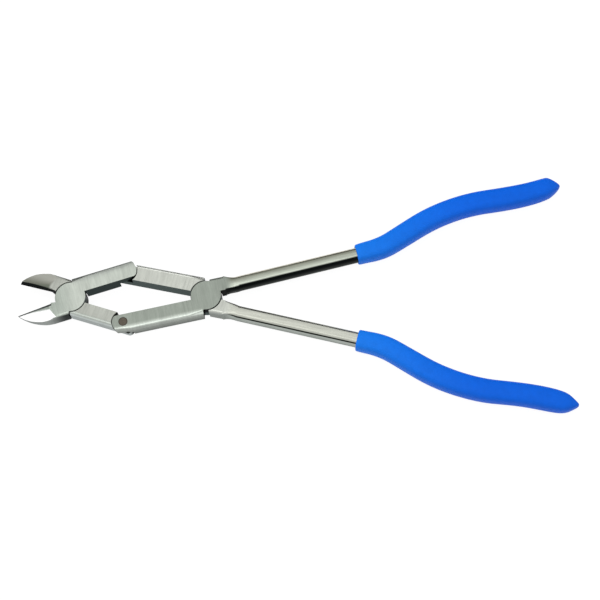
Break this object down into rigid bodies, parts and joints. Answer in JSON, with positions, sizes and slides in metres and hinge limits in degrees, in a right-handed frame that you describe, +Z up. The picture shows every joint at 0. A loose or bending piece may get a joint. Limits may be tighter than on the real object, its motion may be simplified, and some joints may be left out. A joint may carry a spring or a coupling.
{
  "type": "double jointed side cutter",
  "caption": "Long side cutting pliers with compound leverage: crossing jaw halves linked by elbow pins to crossing long handles with dipped grips, standing open.",
  "frame": {"origin": "on the rear pivot's axis, in the flat underside of the joints", "axes": "+X along the tool from the jaws to the handles, +Y across it towards the upper handle, +Z up along the pivot axes, square to the flat joint faces"},
  "size_m": [0.314, 0.1434, 0.0125],
  "materials": {
    "ground_steel": "satin ground steel with fine cross grain; forged and polished on the shanks",
    "pin_steel": "dark satin steel, slightly brown",
    "blue_vinyl": "satin bright blue dipped vinyl"
  },
  "bodies": {
    "lower_handle": {"rear_half_lower_handle": "ground_steel", "lower_grip": "blue_vinyl", "rear_pivot_rivet": "pin_steel", "upper_elbow_pin": "pin_steel"},
    "upper_handle": {"rear_half_upper_handle": "ground_steel", "upper_grip": "blue_vinyl", "lower_elbow_pin": "pin_steel"},
    "lower_jaw": {"front_half_lower_jaw": "ground_steel"},
    "upper_jaw": {"front_half_upper_jaw": "ground_steel", "front_pivot_rivet": "pin_steel"}
  },
  "joints": [
    {"name": "rear_pivot", "type": "hinge", "parent": "lower_handle", "child": "upper_handle", "pos_m": [0, 0, 0.00485], "axis": [0, 0, 1], "range_deg": [-24, 1.6]},
    {"name": "upper_elbow", "type": "hinge", "parent": "lower_handle", "child": "lower_jaw", "pos_m": [-0.04664, 0.01529, 0.00485], "axis": [0, 0, 1], "range_deg": [-29.5, 2]},
    {"name": "front_pivot", "type": "hinge", "parent": "lower_jaw", "child": "upper_jaw", "pos_m": [-0.07768, 0, 0.00485], "axis": [0, 0, 1], "range_deg": [-2.4, 35]}
  ],
  "couplings": [
    {"joint": "upper_elbow", "follows": "rear_pivot", "ratio": 1.2284},
    {"joint": "front_pivot", "follows": "rear_pivot", "ratio": -1.4569}
  ]
}
